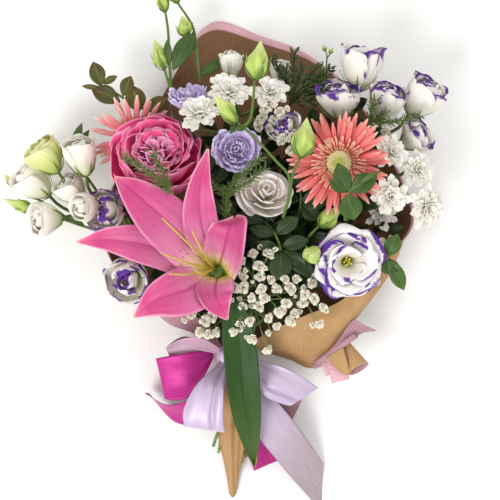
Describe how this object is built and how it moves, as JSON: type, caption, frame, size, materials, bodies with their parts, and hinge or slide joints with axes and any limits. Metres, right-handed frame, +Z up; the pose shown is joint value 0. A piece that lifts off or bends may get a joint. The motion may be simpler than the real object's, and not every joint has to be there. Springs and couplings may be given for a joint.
{
  "type": "mixed flower bouquet",
  "caption": "Hand-tied bouquet lying on its back: lily, rose, gerberas, lisianthus, mums, buds and greenery in a kraft paper wrap with a satin ribbon bow.",
  "frame": {"origin": "on the surface that the bouquet lies on, under the middle of its bounding box", "axes": "+Y along the stems from the cut ends towards the blooms, +Z up out of the surface, +X to the right seen from above"},
  "size_m": [0.4238, 0.5168, 0.1823],
  "materials": {
    "kraft_paper": "matte, fibrous",
    "twine": "matte",
    "lilac_satin": "satin sheen",
    "magenta_satin": "satin sheen",
    "stem": "green stem",
    "dark_leaf": "waxy leaf",
    "lily_pink": "soft petal",
    "coral": "soft petal",
    "rose_pink": "soft petal",
    "cream": "soft petal",
    "lavender": "soft petal",
    "white_petal": "soft petal",
    "green_white": "soft petal",
    "bud": "soft bud",
    "leaf": "waxy leaf",
    "needle": "matte leaf",
    "floret": "soft petal"
  },
  "bodies": {
    "root": {"paper_back": "kraft_paper", "paper_cuff": "kraft_paper", "paper_fold": "kraft_paper", "paper_skirt": "kraft_paper", "binding": "twine", "ribbon_lilac": "lilac_satin", "ribbon_magenta_loop": "magenta_satin", "ribbon_magenta_tails": "magenta_satin", "stems": "stem", "big_leaf": "dark_leaf", "lily": "lily_pink", "gerbera_front": "coral", "gerbera_back": "coral", "rose": "rose_pink", "lisianthus_cream": "cream", "lisianthus_lavender_open": "lavender", "lisianthus_lavender_side": "lavender", "lisianthus_front": "white_petal", "lisianthus_upper_right": "white_petal", "lisianthus_behind": "white_petal", "lisianthus_left": "white_petal", "lisianthus_white": "white_petal", "mums_right": "white_petal", "mums_top": "white_petal", "mums_low": "white_petal", "left_bunch": "green_white", "bud_spray_centre": "bud", "bud_low": "bud", "bud_facing": "bud", "bud_spray_left": "bud", "bud_spray_top": "bud", "bunch_leaves": "leaf", "twig_upper_left": "leaf", "twig_front": "leaf", "twig_right": "leaf", "leaves_centre": "dark_leaf", "leaves_middle": "dark_leaf", "leaves_left": "dark_leaf", "needles_left": "needle", "needles_centre": "needle", "needles_right": "needle", "long_leaves": "needle", "wax_sprig": "needle", "gypsophila_front": "floret", "gypsophila_left": "floret", "gypsophila_back": "floret", "gypsophila_middle": "floret", "gypsophila_right": "floret"}
  },
  "joints": []
}
